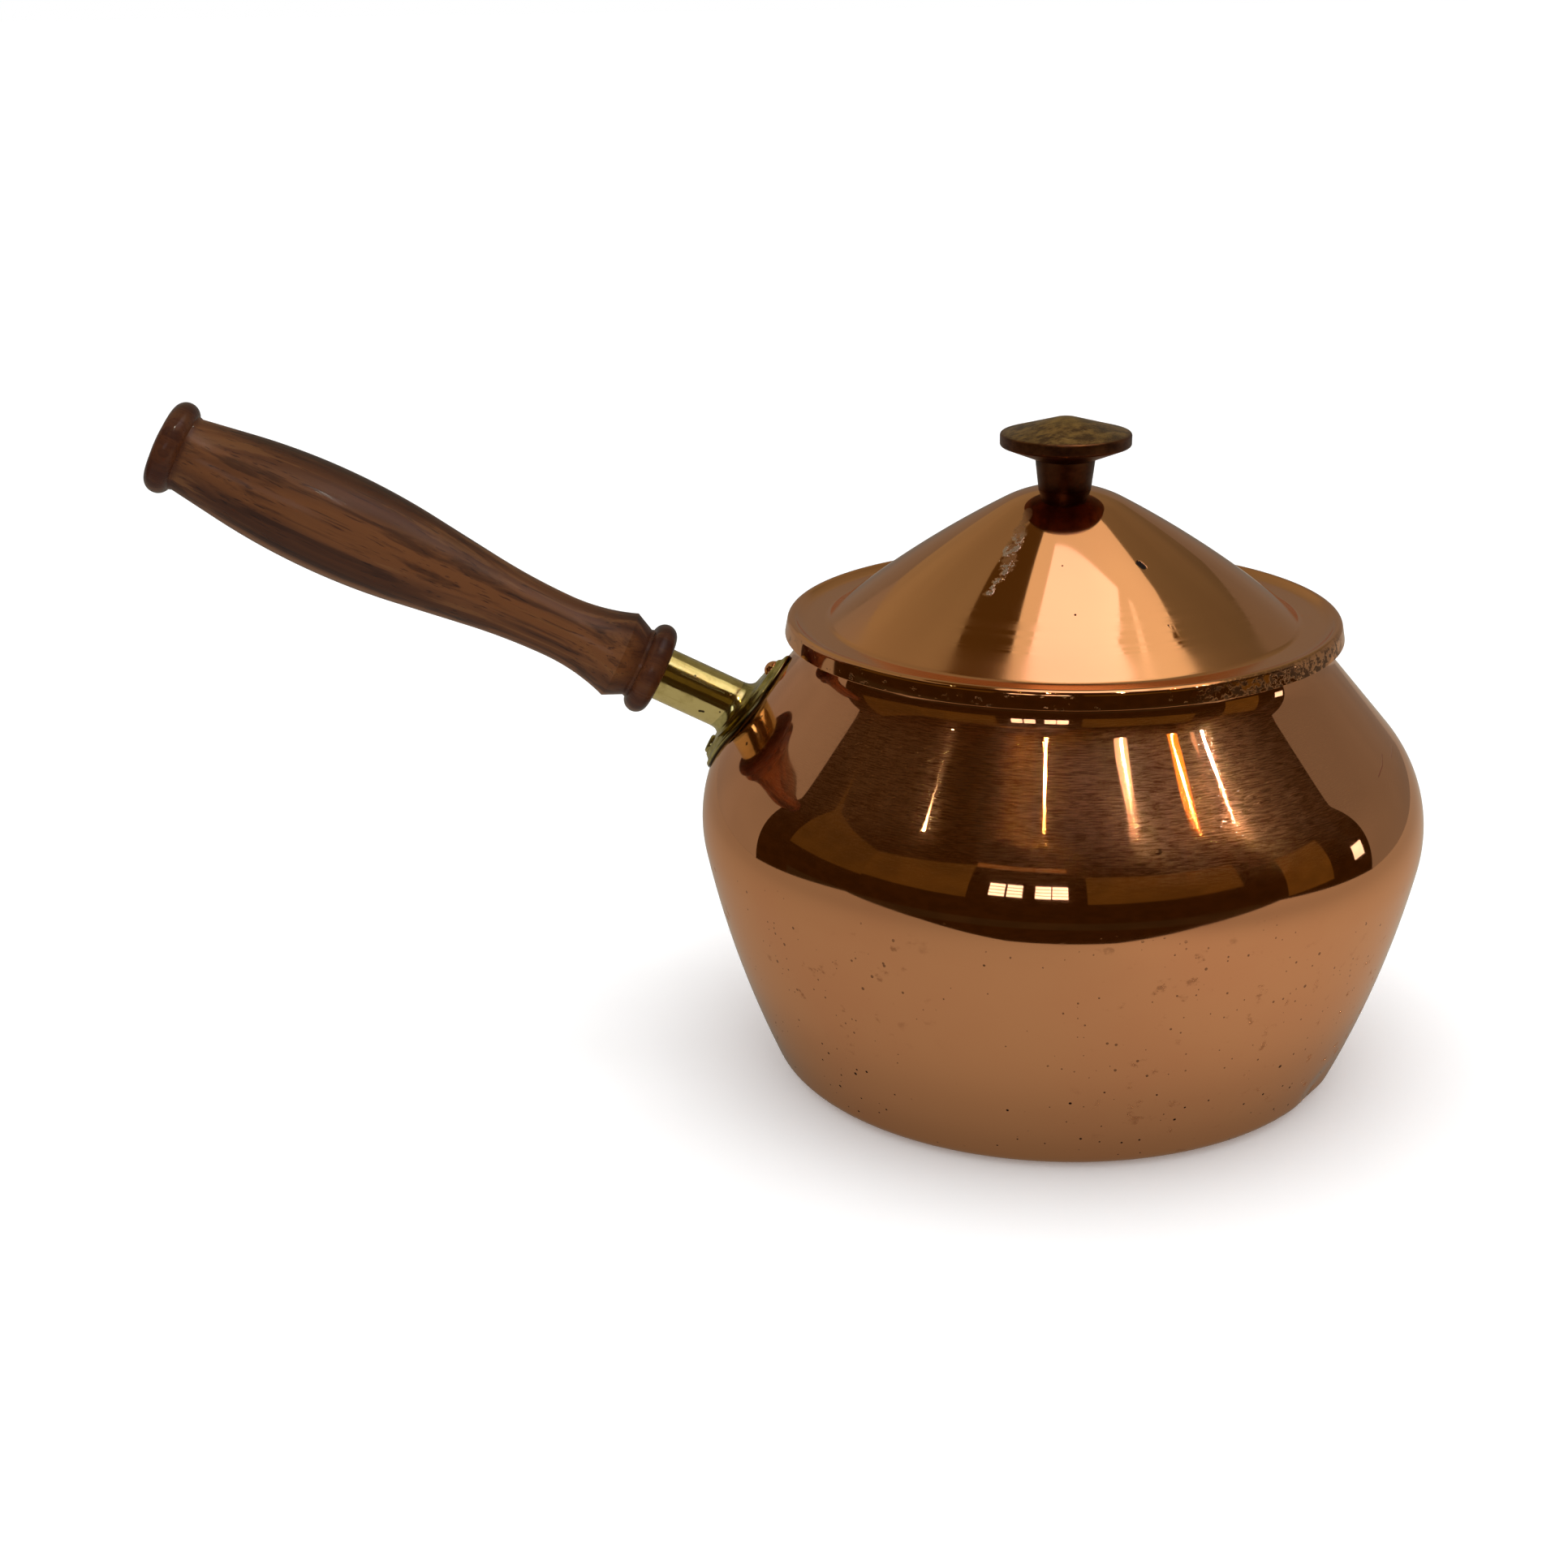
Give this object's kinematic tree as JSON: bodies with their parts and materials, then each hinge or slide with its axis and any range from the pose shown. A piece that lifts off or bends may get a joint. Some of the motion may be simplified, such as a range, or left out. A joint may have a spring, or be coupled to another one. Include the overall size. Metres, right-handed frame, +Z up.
{
  "type": "saucepan with lid",
  "caption": "Bulbous spun copper saucepan with a conical lift-off copper lid, bronze disc knob, riveted brass socket bracket and turned hardwood grip.",
  "frame": {"origin": "centre of the pan's underside, on the pan's axis", "axes": "+Z up along the pan's axis; the handle bracket is on the -X side"},
  "size_m": [0.3412, 0.196, 0.1852],
  "materials": {
    "pan_copper": "mirror polished copper with fine scratches, pits and brown tarnish",
    "lid_copper": "mirror polished copper with spinning marks and streaks of tarnish at the edge",
    "tin": "dull wiped tin",
    "plate_brass": "polished cast brass, dark in the corners",
    "tube_brass": "polished brass tube with small dents",
    "braze": "bright braze metal",
    "rivet_copper": "tarnished copper rivet",
    "rivet_brass": "worn brass rivet",
    "grip_wood": "dark lacquered hardwood, satin",
    "pin_metal": "dark oxidised pin",
    "knob_bronze": "dark brown patina with golden streaks",
    "fastener": "plain zinc"
  },
  "bodies": {
    "pot": {"pot_body": "pan_copper", "pot_lining": "tin", "handle_plate": "plate_brass", "handle_tube": "tube_brass", "braze_fillet": "braze", "rivet_upper": "rivet_copper", "rivet_lower": "rivet_brass", "handle_grip": "grip_wood", "handle_pin": "pin_metal"},
    "lid": {"lid_shell": "lid_copper", "lid_lining": "tin", "lid_knob": "knob_bronze", "knob_washer": "fastener", "knob_nut": "fastener"}
  },
  "joints": [
    {"name": "lid_lift", "type": "slide", "parent": "pot", "child": "lid", "axis": [0, 0, 1], "range_m": [0, 0.12]}
  ]
}
